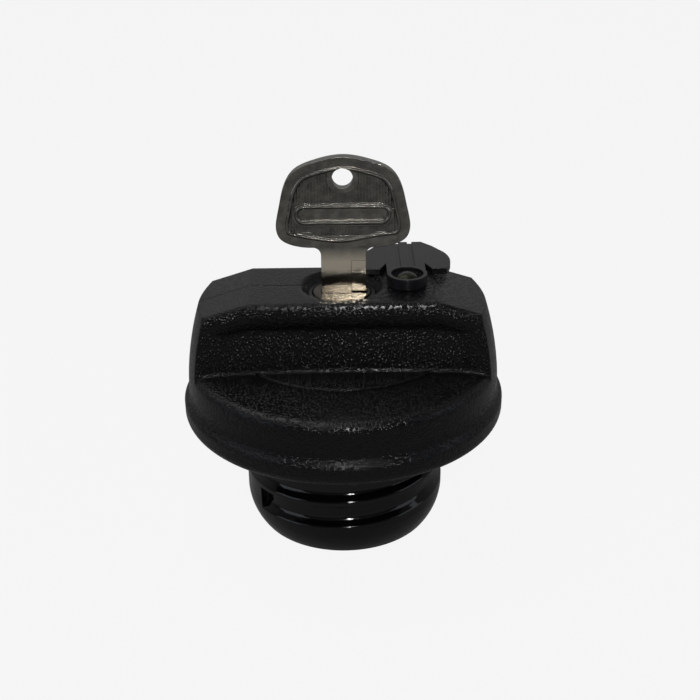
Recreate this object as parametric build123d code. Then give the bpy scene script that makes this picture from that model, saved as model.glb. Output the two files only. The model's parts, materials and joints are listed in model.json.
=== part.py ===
"""Locking fuel filler cap: a threaded plug with a rubber seal and two relief
valves, a free-turning grip with a key lock inside it, and a swinging dust cover.

The plug stands on its lower end. Z runs up the plug's axis, and X runs along
the grip bar. Every size is in millimetres.
"""
import os
from math import atan2, cos, radians, sin, tan

from build123d import *

# ----------------------------------------------------------------- clearances
run_gap = 0.06          # round a shaft that turns or slides
slide_gap = 0.10        # beside a flat slide
free_gap = 0.30         # between bodies that pass each other
seat_gap = 0.05         # under a face that lifts off its seat

# ----------------------------------------------------------------- plug sizes
plug_bore_r = 16.4      # inside the open end
plug_end_wall = 2.2     # wall at the flat end that it stands on
entry_taper = 2.3       # how far the thread stands out from the flat end
entry_z = 6.4           # top of the tapered entry
thread_lead = 5.9
groove_depth_r = 1.55   # depth of the thread's groove
groove_start_deg = 214.0
groove_start_z = 8.68   # middle of the groove at its start
groove_turns = 1.9
collar_step = 1.1       # how far the plain collar stands out from the thread
collar_z = 16.7
seal_undercut = 1.0     # groove above the collar that holds the seal
seal_rest = 0.2         # height of the seal's lip over the collar's upper edge
seal_z = 22.6           # lower face of the seal
seal_t = 3.0
seal_w = 6.2
flange_rim = 2.5        # how far the flange stands out from the seal
flange_t = 2.0
web_z = 9.0             # wall that carries the pressure seat
web_t = 2.0
valve_hole_r = 5.0
valve_seat_h = 0.4
valve_seat_w = 1.0
chamber_r = 15.5
cage_z = 19.5           # ledge that carries the spring cage
cage_t = 1.6
cage_r = 16.9
grille_z = 2.2
grille_t = 1.6
grille_slots = 8
snap_h = 0.45           # height of each snap bead

# ---------------------------------------------------------------- clutch sizes
clutch_inset = 3.2      # from the flange's rim
clutch_w = 3.9
clutch_h = 4.2
clutch_recess = 0.8
clutch_notches = 12
notch_wall = 1.2        # left behind each notch
bolt_w = 7.0
bolt_t = 2.7
bolt_in_r = 3.4
bolt_inset = 0.4        # how far the drawn bolt lies inside its carrier's hub
bolt_travel = 3.0
bolt_pin_r = 1.5
bolt_pin_at = 5.6       # distance of the drive pin from the axis, drawn in
washer_t = 0.25

# ----------------------------------------------------------------- lock sizes
rotor_r = 6.0
face_rise = 0.3         # face of the rotor over the dish's floor
rotor_clip_t = 0.7
tang_r = 2.8
tang_flat = 2.1         # half width across the tang's flats
cam_r = 11.0
cam_t = 1.8
key_turn_deg = 90.0
barrel_r = 8.2
barrel_nose_r = 6.7
barrel_lift = 1.45      # room over the cam for the rotor's clip
wafers = 5
wafer_t = 1.0
wafer_pitch = 2.4
wafer_lift = 3.3        # lowest wafer over the barrel's foot
wafer_w = 5.6

# ------------------------------------------------------------------ key sizes
key_t = 2.3
key_x = 0.45            # the blade sits this much off the lock's axis
blade_w = 8.9
blade_tip_lift = 1.3    # tip over the barrel's foot
groove_stop = 2.8       # where the milled groove ends, below the bow
groove_w = 2.9
groove_depth = 0.55
cut_depth = (1.5, 0.8, 1.8, 1.1, 0.6)
head_w = 26.3
head_stand = 9.7        # bow's lower edge over the lock's face
head_wide_rise = 4.2    # from there to the bow's widest place
head_h = 18.2
head_shoulder_w = 22.6
head_shoulder_drop = 5.6
key_hole_r = 2.05
key_hole_drop = 4.2     # below the bow's top
hole_land = 1.0         # smooth ring round the hole
slot_w = 18.2
slot_h = 3.3
slot_rise = 6.7         # middle of the slot over the bow's lower edge
border_w = 2.2
bead_w = 0.75           # bead inside the border, and round the slot
bead_h = 0.25
bead_low = 1.4          # the bead's lowest place, over the bow's lower edge
slot_web = 1.1          # metal left between the slots of both faces
rib_pitch = 0.6
rib_depth = 0.2

# ----------------------------------------------------------------- grip sizes
wall = 2.4
skirt_lap = 1.0         # how far the skirt reaches below the flange
skirt_play = 0.5        # round the plug's flange
skirt_wall = 2.9
rim_inset = 1.03        # how far the rim lies inside the ring
ring_step = 1.1         # how far the ring stands out from the body
ring_foot_h = 1.7       # curved foot of the ring
ring_side_h = 2.0       # upright side of the ring
ring_neck_h = 1.7       # from there to the crease
body_draft = 4.1        # how far the side leans in from crease to top
shoulder_h = 6.95       # over the crease
shoulder_crown = 0.75
shoulder_fillet = 1.8
bar_h = 14.65           # over the shoulder
top_flat = 18.6         # half length of the level part of the top
end_slope_deg = 17.5
bar_w = 20.0
bar_low_w = 24.0
bead_drop = 5.8         # height of the rolled edge along the top
bead_bulge = 0.5
panel_depth = 0.85      # how far the panel lies behind the rolled edge
panel_end_x = 29.4      # where the panel's end ramps reach the bar's side, at the foot
panel_end_lean = 2.4    # how far the ramps lean in from foot to top
panel_ramp = 5.0
seam_w = 0.22
seam_depth = 0.15
lens_x = 17.0
lens_reach = 18.7
lens_drop = 0.9
dish_r = 8.35
dish_low_r = 7.1
dish_depth = 1.6
skirt_bore_h = 8.4      # over the skirt's lower edge
tube_r = 9.9
tube_lift = 1.3         # seat of the barrel's clip over the barrel's foot
boss_r = 2.9
boss_inset = 3.5        # from the rim of the carrier's hub
boss_y = 5.0
screw_r = 1.25
screw_len = 9.0
screw_head_r = 2.5
screw_head_t = 1.6
rib_t = 1.4

# ------------------------------------------------------- bolt carrier, retainer
carrier_play = 2.7      # inside the skirt's bore
carrier_flange_t = 1.9
carrier_hub_play = 1.1  # inside the clutch ring
carrier_floor_t = 1.2
retainer_t = 0.75
retainer_groove = 0.6

# ------------------------------------------------------------ dust cover sizes
pivot_land = 0.5        # between the rivet's washer and the barrel's tube
cover_t = 1.3
cover_gap = 0.1
cover_half_w = 9.45
cover_far = 20.7
cover_near = 4.9
cover_wing_y = 9.8
cover_flat = 4.0        # half width of the tongue and of the far edge
cup_r = 4.0
cup_wall = 0.75
cup_h = 0.95
finger_groove_x = 1.45
finger_groove_w = 1.0
rivet_shank_r = 1.5
rivet_head_r = 2.4
rivet_head_h = 1.0
rivet_tail_t = 0.6
rivet_washer_r = 2.8
rivet_washer_t = 0.5

# --------------------------------------------------------------- valve sizes
poppet_r = 7.6
poppet_t = 1.45
gasket_t = 0.5
vent_r = 0.8
vacuum_head_r = 3.9
vacuum_head_t = 0.95
stem_r = 1.25
stem_cap_r = 2.6
stem_cap_t = 0.8
vacuum_spring_h = 3.0
pressure_coil_r = 5.5
pressure_wire_r = 0.55
vacuum_coil_r = 1.95
vacuum_wire_r = 0.25

# ------------------------------------------------------------- derived radii
plug_end_r = plug_bore_r + plug_end_wall
thread_r = plug_end_r + entry_taper
collar_r = thread_r + collar_step       # the filler pipe's mouth fits it
seal_seat_r = collar_r - seal_undercut
seal_r = seal_seat_r + seal_w
flange_r = seal_r + flange_rim
clutch_out_r = flange_r - clutch_inset
clutch_in_r = clutch_out_r - clutch_w
notch_depth = clutch_w - notch_wall
carrier_hub_r = clutch_in_r - carrier_hub_play
bolt_out_r = carrier_hub_r - bolt_inset
boss_x = carrier_hub_r - boss_inset
pivot_x = tube_r + rivet_washer_r + pivot_land
skirt_bore_r = flange_r + skirt_play
carrier_r = skirt_bore_r - carrier_play
ring_r = skirt_bore_r + skirt_wall
rim_r = ring_r - rim_inset
body_r = ring_r - ring_step

# ------------------------------------------------------------ derived heights
web_top = web_z + web_t
seat_z = web_top + valve_seat_h
gasket_z = seat_z + seat_gap
poppet_z = gasket_z + gasket_t
poppet_top = poppet_z + poppet_t
stem_cap_z = poppet_top + vacuum_spring_h
collar_top = seal_z - seal_rest
flange_z = seal_z + seal_t
flange_top = flange_z + flange_t
clutch_z = flange_top - clutch_recess
clutch_top = clutch_z + clutch_h
carrier_z = clutch_top + washer_t + seat_gap
carrier_top = carrier_z + carrier_flange_t
bolt_z = carrier_z + slide_gap - bolt_t
channel_z = bolt_z - seat_gap
carrier_low = channel_z - carrier_floor_t
cam_z = carrier_z + slide_gap + seat_gap
cam_top = cam_z + cam_t
barrel_z = cam_top + barrel_lift
clip_z = barrel_z - slide_gap - rotor_clip_t
tube_z = barrel_z + tube_lift
wafer_z = barrel_z + wafer_lift
blade_tip_z = barrel_z + blade_tip_lift
rim_z = flange_z - skirt_lap
ring_side_z = rim_z + ring_foot_h
ring_top_z = ring_side_z + ring_side_h
crease_z = ring_top_z + ring_neck_h
skirt_bore_top = rim_z + skirt_bore_h
shoulder_z = crease_z + shoulder_h
top_z = shoulder_z + bar_h
inner_top = top_z - wall
end_slope = tan(radians(end_slope_deg))
dish_z = top_z - dish_depth
face_z = dish_z + face_rise
head_low_z = face_z + head_stand
head_wide_z = head_low_z + head_wide_rise
head_top_z = head_low_z + head_h
head_shoulder_z = head_top_z - head_shoulder_drop
key_hole_z = head_top_z - key_hole_drop
slot_z = head_low_z + slot_rise
groove_top_z = head_low_z - groove_stop


# -------------------------------------------------------------- small helpers
def disc(radius, low, high, x=0.0, y=0.0):
    """An upright cylinder between two heights."""
    return Pos(x, y, low) * extrude(Circle(radius), high - low)


def tube(outer, inner, low, high, x=0.0, y=0.0):
    """An upright tube between two heights."""
    return Pos(x, y, low) * extrude(Circle(outer) - Circle(inner), high - low)


def block(x0, x1, y0, y1, z0, z1):
    """A box between two corners."""
    middle = Pos((x0 + x1) / 2, (y0 + y1) / 2, (z0 + z1) / 2)
    return middle * Box(x1 - x0, y1 - y0, z1 - z0)


def turned(*edges):
    """A solid turned about Z from a closed outline of (radius, height)."""
    return revolve(make_face(Curve() + list(edges)), Axis.Z)


def run(*points):
    """Straight edges through (radius, height) points."""
    return Polyline(*[(r, 0, z) for r, z in points])


def bow(start, middle, end):
    """An arc through three (radius, height) points."""
    return ThreePointArc(*[(r, 0, z) for r, z in (start, middle, end)])


def around(shape, count, start=0.0):
    """Copies of a shape, evenly spaced about Z."""
    return [Rot(0, 0, start + 360 * i / count) * shape for i in range(count)]


def coil(mean_r, wire_r, low, high, turns):
    """A compression spring with its ends ground flat."""
    rise = high - low - 2 * wire_r
    path = Helix(pitch=rise / turns, height=rise, radius=mean_r)
    wire = Plane(origin=path @ 0, x_dir=(1, 0, 0), z_dir=path % 0) * Circle(wire_r)
    return Pos(0, 0, low + wire_r) * sweep(wire, path, is_frenet=True)


# ------------------------------------------------------------------ the plug
def thread_groove():
    """Cutter for the helical groove that leaves one coarse right-hand thread."""
    root = -groove_depth_r
    # distance out from the thread's outside, and height over the groove's middle
    low_corner, low_edge = (0.0, -2.6), (-0.15, -2.25)
    ledge_end, root_low = (root + 0.45, -1.43), (root, -0.5)
    root_high, high_end = (root, 1.4), (root + 0.65, 2.1)
    high_edge, high_corner = (-0.15, 2.5), (0.0, 2.75)

    def at(point):
        return (point[0], -point[1])

    section = Curve() + [
        Polyline(at((0.6, high_corner[1])), at((0.6, low_corner[1])), at(low_corner)),
        ThreePointArc(at(low_corner), at((-0.04, -2.4)), at(low_edge)),
        Line(at(low_edge), at(ledge_end)),
        ThreePointArc(at(ledge_end), at((root + 0.14, -1.05)), at(root_low)),
        Line(at(root_low), at(root_high)),
        ThreePointArc(at(root_high), at((root + 0.2, 1.86)), at(high_end)),
        Line(at(high_end), at(high_edge)),
        ThreePointArc(at(high_edge), at((-0.04, 2.6)), at(high_corner)),
        Line(at(high_corner), at((0.6, high_corner[1]))),
    ]
    path = Helix(pitch=thread_lead, height=thread_lead * groove_turns, radius=thread_r)
    start = Plane(origin=path @ 0, x_dir=(1, 0, 0), z_dir=path % 0)
    cutter = sweep(start * make_face(section), path, is_frenet=True)
    return Pos(0, 0, groove_start_z) * Rot(0, 0, groove_start_deg) * cutter


def plug_neck():
    """Hollow threaded plug with its collar, flange and valve wall."""
    barrel = turned(
        run((plug_bore_r, 0), (plug_end_r, 0)),
        bow((plug_end_r, 0), (thread_r - 0.75, entry_z * 0.45), (thread_r, entry_z)),
        run((thread_r, entry_z), (thread_r, collar_z), (valve_hole_r, collar_z), (valve_hole_r, web_z),
            (plug_bore_r, web_z), (plug_bore_r, grille_z - seat_gap),
            (plug_bore_r - snap_h, grille_z - 0.35), (plug_bore_r - snap_h, grille_z - 0.9),
            (plug_bore_r, 0)))
    outline = run(
        (chamber_r, collar_z), (collar_r, collar_z), (collar_r, collar_top), (seal_seat_r, collar_top),
        (seal_seat_r, flange_z), (flange_r, flange_z), (flange_r, flange_top),
        (clutch_out_r + seat_gap, flange_top), (clutch_out_r + seat_gap, clutch_z),
        (cage_r + seat_gap, clutch_z), (cage_r + seat_gap, cage_z), (chamber_r, cage_z),
        (chamber_r, collar_z))
    chamber = disc(chamber_r, web_top, collar_z + 1)
    seat = tube(valve_hole_r + valve_seat_w, valve_hole_r, web_top - 0.1, seat_z)
    neck = (barrel - thread_groove() - chamber) + turned(outline) + seat
    stop = block(valve_hole_r, plug_bore_r + 0.5, -0.8, 0.8, grille_z + grille_t, web_z)
    return neck + around(stop, 4, 45)


def seal_ring():
    """Rubber ring with two sealing lips on its lower face."""
    lip = 0.5
    waist = (collar_r + seal_r) / 2
    return turned(run(
        (seal_seat_r, flange_z), (seal_seat_r, seal_z + lip), (collar_r, seal_z + lip),
        (collar_r + lip, seal_z),
        (waist - lip, seal_z), (waist, seal_z + lip), (waist + lip, seal_z),
        (seal_r - lip, seal_z), (seal_r, seal_z + lip), (seal_r, flange_z), (seal_seat_r, flange_z)))


def clutch_ring():
    """Ring of inner notches that the lock's bolts drop into."""
    ring = tube(clutch_out_r, clutch_in_r, clutch_z, clutch_top)
    half = bolt_w / 2 + free_gap
    notch = block(clutch_in_r - 1, clutch_in_r + notch_depth, -half, half,
                  channel_z - free_gap, clutch_top)
    return ring - around(notch, clutch_notches)


def thrust_washer():
    """Thin slip washer between the clutch ring and the grip."""
    inner = clutch_in_r + notch_depth + seat_gap
    return tube(clutch_out_r, inner, clutch_top, clutch_top + washer_t)


def spring_cage():
    """Vented disc that holds the pressure spring down."""
    disc_part = disc(cage_r, cage_z, cage_z + cage_t)
    guide_r = pressure_coil_r - pressure_wire_r - slide_gap
    guide = tube(guide_r, guide_r - 1.0, cage_z - 1.2, cage_z)
    vent = disc(2.0, cage_z - 1, cage_z + cage_t + 1, x=11.0)
    return disc_part + guide - around(vent, 6) - disc(2.9, cage_z - 2, cage_z + cage_t + 1)


def vent_grille():
    """Slotted cover in the plug's open end."""
    plate = disc(plug_bore_r - seat_gap, grille_z, grille_z + grille_t)
    slot = extrude(Pos(9.6, 0, grille_z - 1) * SlotOverall(8.4, 2.2), grille_t + 2)
    hub = disc(3.4, grille_z + grille_t, grille_z + grille_t + 1.0)
    return plate + hub - around(slot, grille_slots)


# ---------------------------------------------------------------- the valves
def pressure_poppet():
    """Disc that lifts when the tank's pressure rises."""
    plate = disc(poppet_r, poppet_z, poppet_top)
    guide_r = pressure_coil_r - pressure_wire_r - slide_gap
    guide = tube(guide_r, guide_r - 0.9, poppet_top, poppet_top + 1.0)
    vent = disc(vent_r, poppet_z - 1, poppet_top + 1, x=vacuum_head_r - vent_r - 0.45)
    stem_hole = disc(stem_r + run_gap, poppet_z - 1, poppet_top + 1)
    return plate + guide - around(vent, 4) - stem_hole


def pressure_gasket():
    """Flat rubber washer under the poppet."""
    return tube(poppet_r - 0.2, valve_hole_r - 0.4, gasket_z, poppet_z)


def pressure_spring():
    """Spring that holds the poppet down."""
    return coil(pressure_coil_r, pressure_wire_r, poppet_top, cage_z, 3.5)


def vacuum_valve():
    """Small valve that hangs under the poppet and opens downwards."""
    head = disc(vacuum_head_r, poppet_z - seat_gap - vacuum_head_t, poppet_z - seat_gap)
    stem = disc(stem_r, poppet_z - seat_gap, stem_cap_z + stem_cap_t + 0.3)
    return head + stem


def vacuum_stem_cap():
    """Push-on cap that the small spring bears on."""
    cap = disc(stem_cap_r, stem_cap_z, stem_cap_z + stem_cap_t)
    return cap - disc(stem_r, stem_cap_z - 1, stem_cap_z + stem_cap_t + 1)


def vacuum_spring():
    """Spring that pulls the small valve up to its seat."""
    return coil(vacuum_coil_r, vacuum_wire_r, poppet_top, stem_cap_z, 3.5)


# ------------------------------------------------------------ clutch and lock
def bolt_carrier():
    """Moulded plate under the grip: bolt channels, cam pocket, screw seats."""
    plate = disc(carrier_r, carrier_z, carrier_top)
    hub = disc(carrier_hub_r, carrier_low, carrier_z)
    pocket = disc(cam_r + free_gap, carrier_z + slide_gap, carrier_top + 1)
    half = bolt_w / 2 + slide_gap
    inner = bolt_in_r - free_gap
    channel = block(-half, half, inner, carrier_r + 1, channel_z, carrier_z + slide_gap)
    body = plate + hub - pocket - around(channel, 2)
    seat_top = carrier_low + screw_head_t
    for x, y in boss_places():
        body -= disc(screw_head_r + slide_gap, carrier_low - 1, seat_top, x, y)
        body -= disc(screw_r + seat_gap, carrier_low - 1, carrier_top + 1, x, y)
    return body


def boss_places():
    """Where the four carrier screws stand."""
    return [(sx * boss_x, sy * boss_y) for sx in (-1, 1) for sy in (-1, 1)]


def carrier_screws():
    """Four pan-head screws with cross recesses."""
    seat_top = carrier_low + screw_head_t
    screws = []
    for x, y in boss_places():
        head = disc(screw_head_r, carrier_low, seat_top, x, y)
        shank = disc(screw_r, seat_top, seat_top + screw_len, x, y)
        arm = 1.5
        cross = (block(x - arm, x + arm, y - 0.3, y + 0.3, carrier_low - 1, carrier_low + 0.8)
                 + block(x - 0.3, x + 0.3, y - arm, y + arm, carrier_low - 1, carrier_low + 0.8))
        screws.append(head + shank - cross)
    return Compound(children=screws)


def locking_bolt():
    """Flat bolt on the +Y side, with its drive pin standing up."""
    bar = block(-bolt_w / 2, bolt_w / 2, bolt_in_r, bolt_out_r, bolt_z, bolt_z + bolt_t)
    tip = bar.edges().filter_by(Axis.Z).group_by(Axis.Y)[-1]
    bar = chamfer(tip, 0.8)
    pin = disc(bolt_pin_r, bolt_z + bolt_t, cam_top, 0, bolt_pin_at)
    return bar + pin


def cam_slot():
    """Spiral slot that draws one bolt's pin outwards as the cam turns."""
    half = bolt_pin_r + slide_gap
    steps = 6
    sweep_deg = key_turn_deg

    def spiral(side):
        points = []
        for i in range(steps + 1):
            share = i / steps
            turn = radians(90 + sweep_deg * share)
            r = bolt_pin_at + bolt_travel * share
            lean = atan2(bolt_travel / radians(sweep_deg), r)
            ray = Vector(cos(turn), sin(turn)) * r
            normal = Vector(cos(turn - lean), sin(turn - lean))
            points.append(ray + normal * half * side)
        return points

    inner, outer = spiral(-1), spiral(1)
    start_mid = Vector(0, bolt_pin_at)
    end_mid = Vector(cos(radians(90 + sweep_deg)), sin(radians(90 + sweep_deg))) * (
        bolt_pin_at + bolt_travel)
    start_out = (inner[0] - outer[0]).normalized().rotate(Axis.Z, 90) * half
    end_out = (outer[-1] - inner[-1]).normalized().rotate(Axis.Z, 90) * half
    outline = Curve() + [
        Spline(*inner),
        ThreePointArc(inner[-1], end_mid + end_out, outer[-1]),
        Spline(*reversed(outer)),
        ThreePointArc(outer[0], start_mid + start_out, inner[0]),
    ]
    return Pos(0, 0, cam_z - 1) * extrude(make_face(outline), cam_t + 2)


def tang(low, high, extra=0.0):
    """Round bar with two flats that drives the cam."""
    flats = tang_flat + extra
    return disc(tang_r + extra, low, high) & block(-cam_r, cam_r, -flats, flats, low, high)


def cam_plate():
    """Disc with two spiral slots, keyed to the lock's rotor."""
    plate = disc(cam_r, cam_z, cam_top)
    return plate - around(cam_slot(), 2) - tang(cam_z - 1, cam_top + 1, extra=seat_gap)


def key_window(extra_w, extra_t, low, high):
    """The block of space that the key's blade takes up, and a little more."""
    half_w = blade_w / 2 + extra_w
    half_t = key_t / 2 + extra_t
    return block(key_x - half_w, key_x + half_w, -half_t, half_t, low, high)


def wafer_heights():
    """The lower face of each wafer."""
    return [wafer_z + i * wafer_pitch for i in range(wafers)]


def wafer_body(low, extra=0.0):
    """Outline of one wafer, or of the slot that it slides in."""
    plate = disc(rotor_r - 0.1, low - extra, low + wafer_t + extra)
    half = wafer_w / 2 + extra
    if extra:
        plate = disc(rotor_r + 1, low - extra, low + wafer_t + extra)
    return plate & block(-rotor_r - 1, rotor_r + 1, -half, half, low - extra, low + wafer_t + extra)


def wafer(low):
    """Brass wafer with its window for the blade."""
    return wafer_body(low) - key_window(0.25, slide_gap, low - 1, low + wafer_t + 1)


def lock_rotor():
    """Turning core of the lock: keyway, wafer slots, clip groove and tang."""
    neck_z = clip_z - seat_gap
    body = disc(rotor_r, barrel_z - slide_gap, face_z)
    body += disc(rotor_r - 1.4, neck_z, barrel_z - slide_gap)
    body += disc(rotor_r - 0.6, cam_top + seat_gap, neck_z)
    body += tang(cam_z, cam_top + seat_gap)
    face_edge = body.edges().filter_by(GeomType.CIRCLE).group_by(Axis.Z)[-1]
    body = chamfer(face_edge, 0.3)
    body -= key_window(0.15, slide_gap, blade_tip_z - 0.3, face_z + 1)
    for low in wafer_heights():
        body -= wafer_body(low, extra=seat_gap)
    return body


def open_ring(outer, inner, low, high, mouth):
    """Flat clip with a mouth that lets it spring over a groove."""
    return tube(outer, inner, low, high) - block(0, outer + 1, -mouth / 2, mouth / 2, low - 1, high + 1)


def rotor_clip():
    """Spring clip that keeps the rotor in its barrel."""
    return open_ring(rotor_r + 1.6, rotor_r - 1.4 + seat_gap, clip_z, clip_z + rotor_clip_t, 6.0)


def lock_barrel():
    """Die-cast housing that the rotor turns in."""
    body = disc(barrel_r, barrel_z, inner_top - 1.6)
    body += disc(barrel_nose_r, inner_top - 1.6, dish_z + 0.1)
    groove = tube(barrel_r + 1, barrel_r - retainer_groove, tube_z - retainer_t - slide_gap, tube_z)
    track = block(-rotor_r - 1.3, rotor_r + 1.3, -wafer_w / 2 - 0.3, wafer_w / 2 + 0.3,
                  wafer_z - 0.6, wafer_heights()[-1] + wafer_t + 0.6)
    return body - disc(rotor_r + run_gap, barrel_z - 1, face_z + 1) - groove - track


def barrel_retainer():
    """Clip in the barrel's groove that holds it up in the grip."""
    low = tube_z - retainer_t - seat_gap
    return open_ring(tube_r, barrel_r - retainer_groove + seat_gap, low, low + retainer_t, 9.0)


# ------------------------------------------------------------------- the key
def head_points(inset):
    """Points round the bow from low right to low left, drawn in by a border."""
    half = head_w / 2
    top_half = head_shoulder_w / 2
    corner_z = head_low_z + 2.0
    # half width, height, and which way is inwards
    right = [
        (blade_w / 2 + 1.6, head_low_z, 0.0, 1.0),
        (half - 2.2, corner_z - 1.1, -0.5, 0.87),
        (half - 0.7, corner_z, -0.85, 0.5),
        (half, head_wide_z, -1.0, 0.0),
        (half - 0.5, head_wide_z + 3.2, -1.0, 0.0),
        (top_half, head_shoulder_z, -0.97, -0.2),
        (top_half - 1.7, head_shoulder_z + 2.6, -0.75, -0.65),
        (top_half - 5.5, head_top_z - 1.1, -0.3, -0.95),
    ]
    side = [(x + inset * nx, z + inset * nz) for x, z, nx, nz in right]
    crown = [(0.0, head_top_z - inset)]
    points = side + crown + [(-x, z) for x, z in reversed(side)]
    return [(key_x + x, 0, z) for x, z in points]


def head_face(inset):
    """The bow, wider below than above, drawn in by a border."""
    placed = head_points(inset)
    return make_face(Curve() + [Spline(*placed), Line(placed[-1], placed[0])])


def plate_of(face, thickness):
    """A flat piece of the key, as thick as stated, centred on its plane."""
    return extrude(face, thickness / 2, both=True)


def key():
    """Flat key: bow with a framed ribbed field, and a grooved, cut blade."""
    bow_plate = plate_of(head_face(0), key_t)
    half = blade_w / 2
    tip = 1.6
    blade_outline = [
        (key_x - half, head_low_z), (key_x - half, blade_tip_z + tip),
        (key_x - half + tip, blade_tip_z), (key_x + half - tip, blade_tip_z),
        (key_x + half, blade_tip_z + tip), (key_x + half, head_low_z),
    ]
    blade = plate_of(make_face(Polyline(*[(x, 0, z) for x, z in blade_outline], close=True)), key_t)
    flare = 1.6
    for side in (-1, 1):
        edge = key_x + side * half
        web_face = make_face(Curve() + [
            Line((edge, 0, head_low_z + 0.5), (edge + side * flare, 0, head_low_z + 0.5)),
            Line((edge + side * flare, 0, head_low_z + 0.5), (edge + side * flare, 0, head_low_z)),
            ThreePointArc((edge + side * flare, 0, head_low_z),
                          (edge + side * flare * 0.29, 0, head_low_z - flare * 0.29),
                          (edge, 0, head_low_z - flare)),
            Line((edge, 0, head_low_z - flare), (edge, 0, head_low_z + 0.5)),
        ])
        blade += plate_of(web_face, key_t)
    body = bow_plate + blade
    # the milled groove along the blade, on both faces
    groove_x = key_x + half - groove_w / 2 + 0.5
    for side in (-1, 1):
        face_y = side * key_t / 2
        body -= block(groove_x - groove_w / 2 - 0.5, groove_x + groove_w / 2,
                      min(face_y, face_y - side * groove_depth) - (0.5 if side < 0 else 0),
                      max(face_y, face_y - side * groove_depth) + (0.5 if side > 0 else 0),
                      blade_tip_z - 1, groove_top_z)
    # one cut for each wafer
    for low, depth in zip(wafer_heights(), cut_depth):
        mid = low + wafer_t / 2
        edge = key_x - half
        notch = make_face(Polyline(
            (edge - 1, 0, mid - depth - 1), (edge + depth, 0, mid - 0.25), (edge + depth, 0, mid + 0.25),
            (edge - 1, 0, mid + depth + 1), close=True))
        body -= plate_of(notch, key_t + 2)
    # the ribbed field inside the border, and the sunk slot
    frame = plate_of(slot_face(bead_w), key_t + 2)
    field = plate_of(head_face(border_w + bead_w / 3), key_t + 2) - frame
    hole_place = Plane.XZ * Pos(key_x, key_hole_z)
    field -= hole_place * extrude(Circle(key_hole_r + hole_land), key_t + 2, both=True)
    ribs = field & rib_grooves()
    body = body - ribs - mirror(ribs, Plane.XZ)
    slot_core = block(-head_w, head_w, -slot_web / 2, slot_web / 2, 0, head_top_z + 5)
    body -= plate_of(slot_face(-bead_w / 2), key_t + 2) - slot_core
    body += bow_beads()
    return body - hole_place * extrude(Circle(key_hole_r), key_t, both=True)


def slot_face(grow):
    """Outline of the slot in the bow, grown outwards."""
    return Plane.XZ * Pos(key_x, slot_z) * SlotOverall(slot_w + 2 * grow, slot_h + 2 * grow)


def rib_grooves():
    """Zigzag cutter that leaves upright ribs on the front face of the bow."""
    face_y = key_t / 2
    count = int(head_w / rib_pitch)
    left = key_x - count * rib_pitch / 2
    points = [(left, -face_y)]
    for i in range(count):
        x = left + i * rib_pitch
        points += [(x + rib_pitch / 2, -face_y + rib_depth), (x + rib_pitch, -face_y)]
    points += [(points[-1][0], -key_t), (left, -key_t)]
    outline = Polyline(*[(x, y, head_low_z) for x, y in points], close=True)
    return extrude(make_face(outline), head_top_z - head_low_z)


def bow_beads():
    """Raised beads with sloping sides round the ribbed field and the slot, on both faces."""
    low_middle = (key_x, 0, head_low_z + bead_low)
    outline = Wire([Spline(*head_points(border_w)[1:-1], low_middle, periodic=True)])
    slot = slot_face(0).face().outer_wire()
    foot, top = bead_w / 2, bead_w / 6
    sunk = 0.1
    beads = []
    for wire in (outline, slot):
        for side in (-1, 1):
            path = wire.translate((0, side * key_t / 2, 0))
            across = Plane(origin=path @ 0, x_dir=(0, side, 0), z_dir=path % 0)
            section = Polyline((-sunk, -foot), (0, -foot), (bead_h, -top), (bead_h, top),
                               (0, foot), (-sunk, foot), close=True)
            beads.append(sweep(across * make_face(section), path))
    return beads


# ---------------------------------------------------------------- grip shell
def side_radius(z, inset=0.0):
    """Radius of the leaning side at a height."""
    share = (z - crease_z) / (top_z - crease_z)
    return body_r - body_draft * share ** 2 - inset


def leaning_body(low, high, inset=0.0):
    """The tapered round body between two heights."""
    mid = (low + high) / 2
    return turned(
        run((0, low), (side_radius(low, inset), low)),
        bow((side_radius(low, inset), low), (side_radius(mid, inset), mid),
            (side_radius(high, inset), high)),
        run((side_radius(high, inset), high), (0, high), (0, low)))


def top_line(x, drop):
    """Height of the bar's top at x, or of a line that runs below it."""
    return top_z - drop - max(0.0, abs(x) - top_flat) * end_slope


def rolled_edge():
    """The band along the top, with sides that bulge a little."""
    half = bar_w / 2
    tuck = 0.35
    section = make_face(Curve() + [
        Line((0, -half + tuck, 0), (0, half - tuck, 0)),
        ThreePointArc((0, half - tuck, 0), (0, half + 0.12, -0.75), (0, half + bead_bulge, -2.6)),
        ThreePointArc((0, half + bead_bulge, -2.6), (0, half + 0.25, -4.6), (0, half - 0.3, -bead_drop)),
        Line((0, half - 0.3, -bead_drop), (0, -half + 0.3, -bead_drop)),
        ThreePointArc((0, -half + 0.3, -bead_drop), (0, -half - 0.25, -4.6),
                      (0, -half - bead_bulge, -2.6)),
        ThreePointArc((0, -half - bead_bulge, -2.6), (0, -half - 0.12, -0.75), (0, -half + tuck, 0)),
    ])
    reach = body_r + 3
    level = extrude(Pos(-top_flat, 0, top_z) * section, amount=2 * top_flat, dir=(1, 0, 0))
    ends = []
    for side in (-1, 1):
        length = reach - top_flat
        run_dir = Vector(side, 0, -end_slope)
        piece = extrude(Pos(side * top_flat, 0, top_z) * section, amount=length * run_dir.length,
                        dir=run_dir)
        ends.append(piece)
    return level + ends


def draft_prism(half_top, half_low, low, high):
    """A long prism along X whose sides lean out downwards."""
    reach = body_r + 5
    outline = Polyline((-reach, -half_low, low), (-reach, half_low, low),
                       (-reach, half_top, high), (-reach, -half_top, high), close=True)
    return extrude(make_face(outline), amount=2 * reach, dir=(1, 0, 0))


def under_top(drop, low):
    """Everything under the bar's top line, as a deep prism along Y."""
    reach = body_r + 5
    xs = (-reach, -top_flat, top_flat, reach)
    points = [(x, 0, top_line(x, drop)) for x in xs] + [(reach, 0, low), (-reach, 0, low)]
    return extrude(make_face(Polyline(*points, close=True)), amount=reach, both=True)


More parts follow.
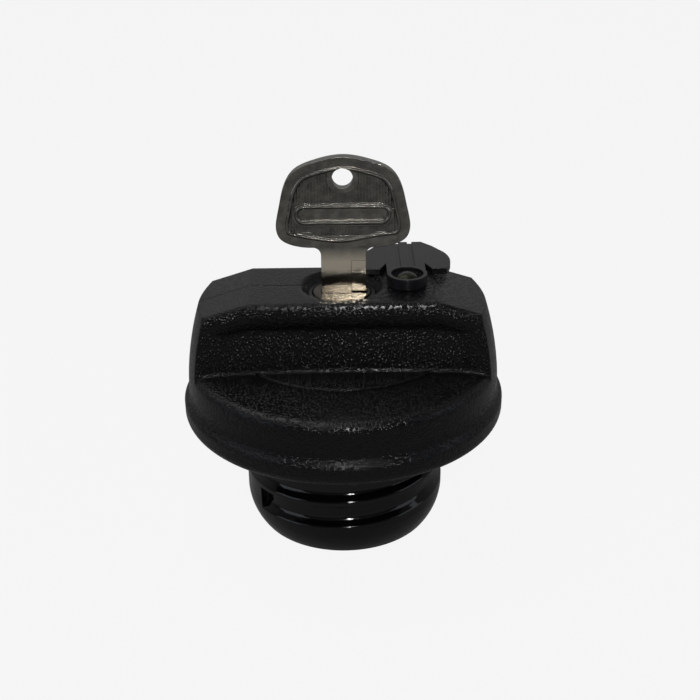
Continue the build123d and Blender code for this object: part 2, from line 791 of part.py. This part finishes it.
def lean_width(z, half_top, half_low):
    """Half width of a leaning side at a height between shoulder and top."""
    share = (top_z - z) / (top_z - shoulder_z)
    return half_top + (half_low - half_top) * share


def panel_ends(low, deep):
    """Four leaning wedges that bring the panels up to the bar's sides at their ends."""
    rise = top_z - low
    per_z = 1 / (top_z - shoulder_z)
    lean = Vector(-panel_end_lean * per_z, (bar_w - bar_low_w) / 2 * per_z, 1)
    far = body_r + 5
    inner = deep - panel_depth - 0.01
    plan = Polyline((panel_end_x - panel_ramp, inner, low), (panel_end_x, deep, low),
                    (far, deep, low), (far, inner, low), close=True)
    wedge = extrude(make_face(plan), amount=rise * lean.length, dir=lean)
    pair = [wedge, mirror(wedge, Plane.YZ)]
    return pair + [mirror(piece, Plane.XZ) for piece in pair]


def grip_bar():
    """The bar: a rolled top edge, and a sunk panel on each side."""
    low = shoulder_z - 2.0
    half_top, half_low = bar_w / 2, bar_low_w / 2
    deep = lean_width(low, half_top, half_low)
    core = draft_prism(half_top - panel_depth, deep - panel_depth, low, top_z)
    bar = (core + panel_ends(low, deep)) & under_top(0.9, low - 1)
    return (bar + rolled_edge()) & leaning_body(low, top_z + 1)


def shoulder():
    """The low crowned body in front of and behind the bar."""
    edge_z = shoulder_z - shoulder_fillet
    edge_r = side_radius(edge_z)
    f = shoulder_fillet
    top_r = edge_r - f
    mid_z = (crease_z + edge_z) / 2
    crown = shoulder_z + shoulder_crown
    return turned(
        run((0, crease_z), (body_r, crease_z)),
        bow((body_r, crease_z), (side_radius(mid_z), mid_z), (edge_r, edge_z)),
        bow((edge_r, edge_z), (edge_r - 0.293 * f, edge_z + 0.707 * f), (top_r, shoulder_z)),
        bow((top_r, shoulder_z), (top_r / 2, shoulder_z + shoulder_crown * 0.75), (0, crown)),
        run((0, crown), (0, crease_z)))


def skirt():
    """The wide ring at the foot of the grip."""
    return turned(
        run((0, rim_z), (rim_r, rim_z)),
        bow((rim_r, rim_z), (ring_r - 0.3, rim_z + 0.75), (ring_r, ring_side_z)),
        run((ring_r, ring_side_z), (ring_r, ring_top_z)),
        bow((ring_r, ring_top_z), (ring_r - 0.2, ring_top_z + 0.55), (ring_r - 0.65, ring_top_z + 0.9)),
        run((ring_r - 0.65, ring_top_z + 0.9), (body_r, crease_z), (0, crease_z), (0, rim_z)))


def lens_pocket():
    """Shallow scoop in the shoulder, deepest along its curved edge."""
    low_y = lean_width(shoulder_z, bar_w / 2, bar_low_w / 2) - panel_depth
    sag = lens_reach - low_y
    arc_r = (lens_x ** 2 + sag ** 2) / (2 * sag)
    plan = disc(arc_r, shoulder_z - 4, shoulder_z + 4, 0, -(lens_reach - arc_r))
    floor = extrude(make_face(Polyline(
        (-lens_x - 5, -low_y, shoulder_z + shoulder_crown * 0.85),
        (-lens_x - 5, -low_y, shoulder_z + 4),
        (-lens_x - 5, -lens_reach - 2, shoulder_z + 4),
        (-lens_x - 5, -lens_reach - 2, shoulder_z + shoulder_crown * 0.6 - lens_drop),
        close=True)), amount=2 * (lens_x + 5), dir=(1, 0, 0))
    return plan & floor


def hollow():
    """The space inside the shell, one wall in from its outside."""
    roof = shoulder_z - wall
    mid = (skirt_bore_top + roof) / 2
    lip_r = skirt_bore_r - snap_h - 0.45    # snap lip that holds the flange
    low_space = turned(
        run((0, rim_z - 1), (lip_r, rim_z - 1), (lip_r, flange_z - free_gap - 0.3),
            (skirt_bore_r, flange_z - free_gap), (skirt_bore_r, skirt_bore_top),
            (side_radius(skirt_bore_top, wall), skirt_bore_top)),
        bow((side_radius(skirt_bore_top, wall), skirt_bore_top), (side_radius(mid, wall), mid),
            (side_radius(roof, wall), roof)),
        run((side_radius(roof, wall), roof), (0, roof), (0, rim_z - 1)))
    half_top = bar_w / 2 - panel_depth - wall
    deep = lean_width(roof - 1, half_top, bar_low_w / 2 - panel_depth - wall)
    bar_space = draft_prism(half_top, deep, roof - 1, top_z) & under_top(wall, roof - 2)
    return low_space + (bar_space & leaning_body(roof - 1, top_z, wall))


def grip_shell():
    """Moulded grip: skirt, shoulder, bar, and the seats inside it."""
    shell = skirt() + shoulder() + grip_bar()
    pocket = lens_pocket()
    shell = shell - pocket - Rot(0, 0, 180) * pocket - hollow()
    shell += disc(tube_r, tube_z, inner_top + 0.2)
    for x, y in boss_places():
        shell += disc(boss_r, carrier_top, top_line(boss_x, wall) + 0.1, x, y)
        shell -= disc(screw_r, carrier_top - 1, carrier_top + screw_len, x, y)
    rib = block(boss_x - boss_r, side_radius(skirt_bore_top, wall) + 0.5, -rib_t / 2, rib_t / 2,
                carrier_top + free_gap, shoulder_z - wall + 0.3)
    shell += around(rib, 4, 45)
    shell -= disc(tube_r + free_gap, tube_z - 4, tube_z)
    shell -= disc(barrel_r + seat_gap, tube_z - 1, inner_top - 1.6 + seat_gap)
    shell -= disc(barrel_nose_r + seat_gap, tube_z, top_z + 1)
    dish = turned(run((0, dish_z), (dish_low_r, dish_z), (dish_r, top_z), (dish_r, top_z + 1),
                      (0, top_z + 1), (0, dish_z)))
    shell -= dish
    shell -= disc(rivet_shank_r + seat_gap, inner_top - 1, top_z + 1, pivot_x)
    seam = block(-body_r, -dish_low_r, -seam_w / 2, seam_w / 2, shoulder_z + 2, top_z + 1)
    return shell - (seam - under_top(seam_depth, shoulder_z))


# --------------------------------------------------------------- dust cover
def dust_cover():
    """Winged cover on a tongue, with a cup round its rivet."""
    low = top_z + cover_gap
    high = low + cover_t
    w, flat = cover_half_w, cover_flat
    right = [(flat, cover_far), (w * 0.66, cover_far - 2.7), (w * 0.9, cover_far - 6.5)]
    plan = Curve() + [
        Polyline((-right[2][0], right[2][1]), (-right[1][0], right[1][1]), (-flat, cover_far),
                 (flat, cover_far), right[1], right[2]),
        ThreePointArc(right[2], (w, cover_wing_y), (w - 1.1, cover_near)),
        Polyline((w - 1.1, cover_near), (flat + 1.3, cover_near), (flat, cover_near + 3.1), (flat, 0),
                 (-flat, 0), (-flat, cover_near + 3.1), (-flat - 1.3, cover_near), (1.1 - w, cover_near)),
        ThreePointArc((1.1 - w, cover_near), (-w, cover_wing_y), (-right[2][0], right[2][1])),
    ]
    plate = Pos(0, 0, low) * extrude(make_face(plan), cover_t)
    plate = fillet(plate.edges().group_by(Axis.Z)[-1], 0.1)
    cup = disc(cup_r, low, high + cup_h)
    cover = plate + cup - disc(cup_r - cup_wall, high, high + cup_h + 1)
    groove = block(-finger_groove_w / 2, finger_groove_w / 2, cup_r + 0.6, cover_far + 1,
                   high - 0.45, high + 1)
    for side in (-1, 1):
        cover -= Pos(side * finger_groove_x, 0, 0) * groove
    cover -= disc(rivet_shank_r + run_gap, low - 1, high + 1)
    return Pos(pivot_x, 0, 0) * cover


def cover_rivet():
    """Domed rivet that the dust cover swings on."""
    head_z = top_z + cover_gap + cover_t + seat_gap
    tail_top = inner_top - rivet_washer_t
    dome_r = (rivet_head_r ** 2 + rivet_head_h ** 2) / (2 * rivet_head_h)
    dome = Pos(0, 0, head_z + rivet_head_h - dome_r) * Sphere(dome_r)
    head = dome & disc(rivet_head_r, head_z, head_z + rivet_head_h)
    shank = disc(rivet_shank_r, tail_top - rivet_tail_t, head_z)
    tail = disc(rivet_head_r - 0.2, tail_top - rivet_tail_t, tail_top)
    return Pos(pivot_x, 0, 0) * (head + shank + tail)


def rivet_washer():
    """Washer under the grip's top wall, at the rivet's tail."""
    return tube(rivet_washer_r, rivet_shank_r + seat_gap, inner_top - rivet_washer_t, inner_top, pivot_x)


# ------------------------------------------------------------------- output
def nodes():
    """Every piece by its name."""
    bolt = locking_bolt()
    pieces = {
        "plug_neck": plug_neck(),
        "seal_ring": seal_ring(),
        "clutch_ring": clutch_ring(),
        "thrust_washer": thrust_washer(),
        "spring_cage": spring_cage(),
        "vent_grille": vent_grille(),
        "pressure_poppet": pressure_poppet(),
        "pressure_gasket": pressure_gasket(),
        "pressure_spring": pressure_spring(),
        "vacuum_valve": vacuum_valve(),
        "vacuum_stem_cap": vacuum_stem_cap(),
        "vacuum_spring": vacuum_spring(),
        "grip_shell": grip_shell(),
        "bolt_carrier": bolt_carrier(),
        "carrier_screws": carrier_screws(),
        "lock_barrel": lock_barrel(),
        "barrel_retainer": barrel_retainer(),
        "cover_rivet": cover_rivet(),
        "rivet_washer": rivet_washer(),
        "dust_cover": dust_cover(),
        "lock_rotor": lock_rotor(),
        "rotor_clip": rotor_clip(),
        "cam_plate": cam_plate(),
        "locking_bolt_back": bolt,
        "locking_bolt_front": Rot(0, 0, 180) * bolt,
        "key": key(),
    }
    for i, low in enumerate(wafer_heights()):
        pieces[f"wafer_{i + 1}"] = wafer(low)
    return pieces


os.makedirs("parts", exist_ok=True)
for name, shape in nodes().items():
    export_step(shape, f"parts/{name}.step")
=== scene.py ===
"""A locking fuel filler cap: its finishes, its fine moulded and stamped detail,
and the studio round it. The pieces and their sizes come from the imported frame.
"""
import json
from math import pi, radians

import bpy
from mathutils import Matrix, Vector

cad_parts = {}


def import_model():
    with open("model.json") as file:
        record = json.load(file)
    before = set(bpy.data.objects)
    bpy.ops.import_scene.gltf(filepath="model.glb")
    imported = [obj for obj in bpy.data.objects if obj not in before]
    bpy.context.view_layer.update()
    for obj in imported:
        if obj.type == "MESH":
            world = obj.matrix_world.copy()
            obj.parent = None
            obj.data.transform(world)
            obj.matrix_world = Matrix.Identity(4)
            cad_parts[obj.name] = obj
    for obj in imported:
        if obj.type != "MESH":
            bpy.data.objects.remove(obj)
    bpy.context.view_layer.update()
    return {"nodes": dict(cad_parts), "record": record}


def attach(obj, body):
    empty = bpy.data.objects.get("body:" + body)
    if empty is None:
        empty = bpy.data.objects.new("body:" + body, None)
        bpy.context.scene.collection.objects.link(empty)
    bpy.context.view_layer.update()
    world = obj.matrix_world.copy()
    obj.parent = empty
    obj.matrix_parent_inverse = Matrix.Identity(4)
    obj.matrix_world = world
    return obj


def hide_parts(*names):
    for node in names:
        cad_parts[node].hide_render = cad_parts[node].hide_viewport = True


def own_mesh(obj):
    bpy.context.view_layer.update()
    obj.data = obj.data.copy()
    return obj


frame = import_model()
MM = 0.001


# ------------------------------------------------------------------ node graph
def linear(code):
    """An sRGB hex colour as a linear RGBA value."""
    parts = [int(code[i:i + 2], 16) / 255 for i in (1, 3, 5)]
    return [c / 12.92 if c <= 0.04045 else ((c + 0.055) / 1.055) ** 2.4 for c in parts] + [1.0]


def level(value):
    """A grey for a colour ramp that carries a number."""
    return (value, value, value, 1)


def add(tree, kind, inputs=None, stops=(), **settings):
    """One node with its settings. A node or a socket given as an input is linked, a node by its
    first output, and anything else is set. Stops are a colour ramp's places and colours."""
    made = tree.nodes.new("ShaderNode" + kind)
    for name, value in settings.items():
        setattr(made, name, value)
    for at, (position, colour) in enumerate(stops):
        made.color_ramp.elements[at].position = position
        made.color_ramp.elements[at].color = colour
    for name, value in (inputs or {}).items():
        if isinstance(value, bpy.types.Node):
            value = value.outputs[0]
        if isinstance(value, bpy.types.NodeSocket):
            tree.links.new(value, made.inputs[name])
        else:
            made.inputs[name].default_value = value
    return made


def blank(name):
    """An empty material and its tree."""
    material = bpy.data.materials.new(name)
    material.use_nodes = True
    material.node_tree.nodes.clear()
    return material, material.node_tree


def cells(tree, size_mm, stretch=(1, 1, 1)):
    """Object coordinates scaled so that one cell of a pattern is about size_mm wide."""
    where = add(tree, "TexCoord")
    return add(tree, "Mapping", {
        "Vector": where.outputs["Object"], "Scale": [s / (size_mm * MM) for s in stretch]})


# -------------------------------------------------------------------- finishes
# Each edge is rounded in the shading by the small radius that a mould or a die leaves it.
EDGE_SAMPLES = 6


def spark_abs():
    """Black ABS, moulded in a spark-eroded tool: a coarse even grain that glints in a raking
    light. The real grain is about 0.1 mm across, too fine to show, so it is drawn at 0.5 mm."""
    material, tree = blank("spark eroded black abs")
    grains = add(tree, "TexVoronoi", {"Vector": cells(tree, 0.52), "Scale": 1.0})
    domes = add(tree, "ValToRGB", {"Fac": grains}, stops=((0.0, level(1)), (0.6, level(0))))
    edge = add(tree, "Bevel", {"Radius": 1.3 * MM}, samples=EDGE_SAMPLES)
    relief = add(tree, "Bump", {"Height": domes, "Distance": 0.11 * MM, "Normal": edge})
    # a fine speckle of tone at the grain's size: painted glints of the grain
    cloud = add(tree, "TexNoise", {"Vector": cells(tree, 0.5), "Scale": 1.0, "Detail": 2.0})
    tone = add(tree, "ValToRGB", {"Fac": cloud},
               stops=((0.45, linear("#050506")), (0.75, linear("#0f0f11"))))
    shader = add(tree, "BsdfPrincipled", {
        "Base Color": tone, "Roughness": 0.24, "Specular IOR Level": 0.28, "Normal": relief})
    add(tree, "OutputMaterial", {"Surface": shader})
    return material


def gloss_nylon():
    """Black polyamide from a polished tool: mirror bright, its reflections slightly wavy where
    the melt flowed and shrank."""
    material, tree = blank("polished black polyamide")
    flow = add(tree, "TexNoise", {
        "Vector": cells(tree, 5, (1, 1, 2.5)), "Scale": 1.0, "Detail": 1.5})
    edge = add(tree, "Bevel", {"Radius": 0.3 * MM}, samples=EDGE_SAMPLES)
    waves = add(tree, "Bump", {"Height": flow, "Distance": 0.10 * MM, "Normal": edge})
    wear = add(tree, "TexNoise", {"Vector": cells(tree, 2.2), "Scale": 1.0, "Detail": 4.0})
    dulled = add(tree, "ValToRGB", {"Fac": wear}, stops=((0.35, level(0.05)), (0.75, level(0.13))))
    shader = add(tree, "BsdfPrincipled", {
        "Base Color": linear("#050506"), "Roughness": dulled, "Specular IOR Level": 0.45,
        "Normal": waves})
    add(tree, "OutputMaterial", {"Surface": shader})
    return material


def moulding(name, low, high, roughness, specular=0.3, cloud_mm=3.0, detail=3.0,
             cloud_range=(0.3, 0.7), grain_mm=0.2, relief_mm=0.006, edge_mm=0.15):
    """A plain moulding or coat: a slight cloudiness of tone, and a fine tool grain that spreads
    its highlights. The grain is drawn wider than life, so that it shows."""
    material, tree = blank(name)
    cloud = add(tree, "TexNoise", {"Vector": cells(tree, cloud_mm), "Scale": 1.0, "Detail": detail})
    tone = add(tree, "ValToRGB", {"Fac": cloud},
               stops=tuple(zip(cloud_range, (linear(low), linear(high)))))
    grain = add(tree, "TexNoise", {"Vector": cells(tree, grain_mm), "Scale": 1.0, "Detail": 2.0})
    edge = add(tree, "Bevel", {"Radius": edge_mm * MM}, samples=EDGE_SAMPLES)
    relief = add(tree, "Bump", {"Height": grain, "Distance": relief_mm * MM, "Normal": edge})
    shader = add(tree, "BsdfPrincipled", {
        "Base Color": tone, "Roughness": roughness, "Specular IOR Level": specular,
        "Normal": relief})
    add(tree, "OutputMaterial", {"Surface": shader})
    return material


BLADE_TOP_Z = 57.0      # in mm: the smooth blade ends here, and the bow has its full grain and its painted shade from here
BOW_LOW_Z = 60.0        # and the bow has its full grain from here


def stamped_nickel():
    """Nickel plate on stamped brass. The bow keeps the sandy grain of a blasted blank, and its
    colour is painted darker than nickel, a painted shade for the dark room it mirrors. The blade is
    smooth, and its pale colour is partly nickel's own and partly a painted reflection."""
    material, tree = blank("nickel plated stamping")
    split = add(tree, "SeparateXYZ", {"Vector": cells(tree, 1.0)})
    on_bow = {0: split.outputs["Z"], 1: BLADE_TOP_Z, 2: BOW_LOW_Z}
    bow = add(tree, "MapRange", {**on_bow, 3: 0.06, 4: 1.0})
    rough = add(tree, "MapRange", {**on_bow, 3: 0.12, 4: 0.22})
    relief = add(tree, "Bevel", {"Radius": 0.15 * MM}, samples=EDGE_SAMPLES)
    for grain_mm, depth_mm in ((0.5, 0.075), (0.3, 0.04)):
        grain = add(tree, "TexNoise", {
            "Vector": cells(tree, grain_mm), "Scale": 1.0, "Detail": 2.0})
        relief = add(tree, "Bump", {
            "Height": grain, "Distance": depth_mm * MM, "Strength": bow, "Normal": relief})
    stain = add(tree, "TexNoise", {"Vector": cells(tree, 1.6), "Scale": 1.0, "Detail": 4.0})
    # the bow's colour, painted darker than nickel: painted shade for the dark room it mirrors
    plate = add(tree, "ValToRGB", {"Fac": stain},
                stops=((0.35, linear("#706e69")), (0.7, linear("#8e8c85"))))
    # the pale blade colour, partly nickel's own and partly painted reflection, blended by height
    # into the bow's painted shade
    tone = add(tree, "MixRGB", {"Fac": bow, "Color1": linear("#ded4c0"), "Color2": plate})
    shader = add(tree, "BsdfPrincipled", {
        "Base Color": tone, "Roughness": rough, "Metallic": 1.0, "Normal": relief})
    add(tree, "OutputMaterial", {"Surface": shader})
    return material


def metal(name, dark, light, rough_low, rough_high, relief_mm=0.006):
    """A bare or plated metal: soft highlights from a fine grain, and slight staining, duller
    where it is darker."""
    material, tree = blank(name)
    grain = add(tree, "TexNoise", {"Vector": cells(tree, 0.3), "Scale": 1.0, "Detail": 3.0})
    edge = add(tree, "Bevel", {"Radius": 0.12 * MM}, samples=EDGE_SAMPLES)
    relief = add(tree, "Bump", {"Height": grain, "Distance": relief_mm * MM, "Normal": edge})
    stain = add(tree, "TexNoise", {"Vector": cells(tree, 2.0), "Scale": 1.0, "Detail": 4.0})
    tone = add(tree, "ValToRGB", {"Fac": stain},
               stops=((0.35, linear(dark)), (0.7, linear(light))))
    dulled = add(tree, "ValToRGB", {"Fac": stain},
                 stops=((0.3, level(rough_high)), (0.7, level(rough_low))))
    shader = add(tree, "BsdfPrincipled", {
        "Base Color": tone, "Roughness": dulled, "Metallic": 1.0, "Normal": relief})
    add(tree, "OutputMaterial", {"Surface": shader})
    return material


finishes = {
    "grip_abs": spark_abs(),
    "plug_nylon": gloss_nylon(),
    # a fine-blasted tool leaves an even satin
    "cover_nylon": moulding("satin grey acetal", "#0e0f11", "#131416", 0.32, 0.40, cloud_mm=4.0,
                            grain_mm=0.25, relief_mm=0.02, edge_mm=0.2),
    "carrier_nylon": moulding("glass filled black nylon", "#0e0e0f", "#151516", 0.5, 0.4),
    "valve_acetal": moulding("natural acetal", "#cfcabb", "#dad6c8", 0.38),
    "cam_acetal": moulding("blue acetal", "#4a5a70", "#52637a", 0.40),
    "slip_ptfe": moulding("skived ptfe", "#e2e2de", "#ececea", 0.35),
    # dull, with a faint bloom
    "seal_rubber": moulding("moulded nitrile rubber", "#080808", "#121211", 0.6, 0.35,
                            cloud_mm=2.5, detail=4.0, cloud_range=(0.4, 0.8), grain_mm=0.15,
                            relief_mm=0.01, edge_mm=0.2),
    "key_nickel": stamped_nickel(),
    "barrel_black": moulding("black lacquered die casting", "#0f0f10", "#161617", 0.34, 0.4),
    # the rotor's colour is far darker than nickel's own: painted shade
    "lock_nickel": metal("nickel plated rotor", "#403c36", "#5c564d", 0.12, 0.22),
    "lock_zinc": metal("zinc die casting", "#8b8a88", "#a9a8a5", 0.30, 0.45, relief_mm=0.012),
    "wafer_brass": metal("stamped brass", "#9c7f3c", "#bf9d50", 0.22, 0.36),
    "spring_steel": metal("drawn spring steel", "#77777a", "#93939a", 0.20, 0.34),
    "screw_steel": metal("zinc plated steel", "#8f9296", "#b3b6ba", 0.24, 0.38),
    "rivet_steel": metal("oiled steel rivet", "#2a2c24", "#4c4e42", 0.22, 0.34),
}

slot_of = {part["node"]: part["material_slot"] for part in frame["record"]["subparts"]}
for name, node in frame["nodes"].items():
    node.data.materials.clear()
    node.data.materials.append(finishes[slot_of[name]])


# ------------------------------------------------------- moulded detail, in mm
LENS_ARC_R = 22.91      # plan radius of the shoulder pocket's curved edge
LENS_ARC_Y = 4.21       # its centre, beyond the middle of the bar
LENS_RIM_R = 0.36       # the rim's round section
LENS_RIM_Z = 37.45      # the middle of the section, just above the shoulder
BAR_FOOT_Y = 11.3       # the bar's side wall, where the rim ends


def lens_rim(name, turn_about_z):
    """The raised rounded rim along the curved edge of a shoulder pocket."""
    bpy.ops.object.select_all(action="DESELECT")
    bpy.ops.mesh.primitive_torus_add(
        location=(0, LENS_ARC_Y * MM, LENS_RIM_Z * MM), major_segments=360, minor_segments=12,
        major_radius=LENS_ARC_R * MM, minor_radius=LENS_RIM_R * MM)
    rim = bpy.context.object
    rim.name = name
    bpy.ops.object.transform_apply(location=True)
    bpy.ops.object.mode_set(mode="EDIT")
    bpy.ops.mesh.select_all(action="SELECT")
    bpy.ops.mesh.bisect(plane_co=(0, -BAR_FOOT_Y * MM, 0), plane_no=(0, 1, 0), use_fill=True,
                        clear_outer=True)
    bpy.ops.object.mode_set(mode="OBJECT")
    rim.rotation_euler = (0, 0, turn_about_z)
    bpy.ops.object.transform_apply(rotation=True)
    bpy.ops.object.shade_smooth()
    rim.data.materials.append(finishes["grip_abs"])
    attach(rim, "grip")


def valve_spring(name, node, body):
    """A valve's coil: a welded, smooth-shaded copy of the frame's coil that rides with the given
    body, in place of the frame's own.
    """
    bpy.ops.object.select_all(action="DESELECT")
    spring = bpy.data.objects.new(name, frame["nodes"][node].data.copy())
    bpy.context.scene.collection.objects.link(spring)
    spring.select_set(True)
    bpy.context.view_layer.objects.active = spring
    bpy.ops.object.mode_set(mode="EDIT")
    bpy.ops.mesh.select_all(action="SELECT")
    bpy.ops.mesh.remove_doubles(threshold=0.001 * MM)
    bpy.ops.object.mode_set(mode="OBJECT")
    bpy.ops.object.shade_smooth_by_angle(angle=radians(35))
    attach(spring, body)
    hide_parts(node)
    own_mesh(spring)


lens_rim("front_lens_rim", 0)
lens_rim("back_lens_rim", pi)
# the first stands under the cage, the second on the poppet; opening the valves would take 2 mm of
# the first's 6.1 and 1.5 of the second's 3.0, and these copies keep their length
valve_spring("pressure_valve_spring", "pressure_spring", "plug")
valve_spring("vacuum_valve_spring", "vacuum_spring", "pressure_valve")


# ---------------------------------------------------------- studio, in metres
MIRRORED_WHITE = 0.08    # share of the white that polished faces mirror; the rest is the dim room
CARD_GLOW = 0.9          # share of the floor that is plain white; the rest takes the shadow
CARD_SIZE = 6.0
CARD_DROP = 0.00005      # the sheet lies just under the cap, clear of its foot


def seen_directly(tree):
    """How far a ray sees the studio as plain white: wholly from the camera or through clear
    stuff, and a little in a mirror."""
    path = add(tree, "LightPath")
    mirrored = add(tree, "Math", {0: path.outputs["Is Glossy Ray"], 1: MIRRORED_WHITE},
                   operation="MULTIPLY")
    mirror = add(tree, "Math", {0: path.outputs["Is Camera Ray"], 1: mirrored}, operation="ADD")
    return add(tree, "Math", {0: mirror, 1: path.outputs["Is Transmission Ray"]},
               operation="ADD", use_clamp=True)


def floor():
    """A wide white sheet that the cap stands on, which still takes a faint shadow."""
    bpy.ops.object.select_all(action="DESELECT")
    bpy.ops.mesh.primitive_plane_add(size=CARD_SIZE, location=(0, 0, -CARD_DROP))
    sheet = bpy.context.object
    sheet.name = "studio_floor"
    material, tree = blank("white card")
    card = add(tree, "BsdfPrincipled", {
        "Base Color": linear("#8a8a8a"), "Roughness": 0.9, "Specular IOR Level": 0.1})
    glow = add(tree, "Emission", {"Color": linear("#ffffff"), "Strength": 1.0})
    share = add(tree, "Math", {0: seen_directly(tree), 1: CARD_GLOW}, operation="MULTIPLY")
    mix = add(tree, "MixShader", {"Fac": share, 1: card, 2: glow})
    add(tree, "OutputMaterial", {"Surface": mix})
    sheet.data.materials.append(material)


def world():
    """White where it is seen. Its light on the cap comes from behind and is dim in front."""
    made = bpy.data.worlds.new("studio")
    bpy.context.scene.world = made
    made.use_nodes = True
    tree = made.node_tree
    tree.nodes.clear()
    where = add(tree, "TexCoord")
    split = add(tree, "SeparateXYZ", {"Vector": where.outputs["Generated"]})
    room = add(tree, "ValToRGB", {"Fac": split.outputs["Y"]},
               stops=((0.0, linear("#38393b")), (0.75, linear("#d8d8d8"))))
    lit = add(tree, "Background", {"Color": room, "Strength": 0.42})
    seen = add(tree, "Background", {"Color": linear("#ffffff"), "Strength": 1.0})
    mix = add(tree, "MixShader", {"Fac": seen_directly(tree), 1: lit, 2: seen})
    add(tree, "OutputWorld", {"Surface": mix})


GRIP_MIDDLE = (0, 0, 0.04)


def lamp(name, at, size, power, tint="#ffffff"):
    """A square soft lamp that faces the grip."""
    data = bpy.data.lights.new(name, "AREA")
    data.shape = "SQUARE"
    data.size = size
    data.energy = power
    data.color = linear(tint)[:3]
    made = bpy.data.objects.new(name, data)
    made.location = at
    towards_grip = Vector(at) - Vector(GRIP_MIDDLE)
    made.rotation_euler = towards_grip.to_track_quat("Z", "Y").to_euler()
    bpy.context.scene.collection.objects.link(made)


CAMERA_AT = (0.0015, -0.205231, 0.135877)
CAMERA_TILT = 0.449      # radians down from level
CAMERA_ROLL = -0.013
PICTURE_WIDTH = 700      # pixels
FOCAL_LENGTH = 1100.0    # pixels


def camera():
    """A lens a forearm's length from the cap, looking down on it."""
    data = bpy.data.cameras.new("camera")
    data.sensor_width = 36.0
    data.lens = data.sensor_width * FOCAL_LENGTH / PICTURE_WIDTH
    data.clip_start = 0.01
    made = bpy.data.objects.new("camera", data)
    turn = Matrix.Rotation(pi / 2 - CAMERA_TILT, 4, "X") @ Matrix.Rotation(CAMERA_ROLL, 4, "Z")
    made.matrix_world = Matrix.Translation(CAMERA_AT) @ turn
    bpy.context.scene.collection.objects.link(made)
    bpy.context.scene.camera = made


floor()
world()
camera()
lamp("flash", (0.012, -0.235, 0.185), 0.018, 0.28)
lamp("overhead", (-0.25, 0.10, 0.75), 0.55, 2.0)
lamp("left fill", (-0.75, -0.30, 0.35), 0.5, 0.75, "#e4ebf7")
lamp("right fill", (0.75, -0.20, 0.40), 0.5, 0.65, "#e8eef8")
bpy.context.scene.view_settings.view_transform = "Standard"
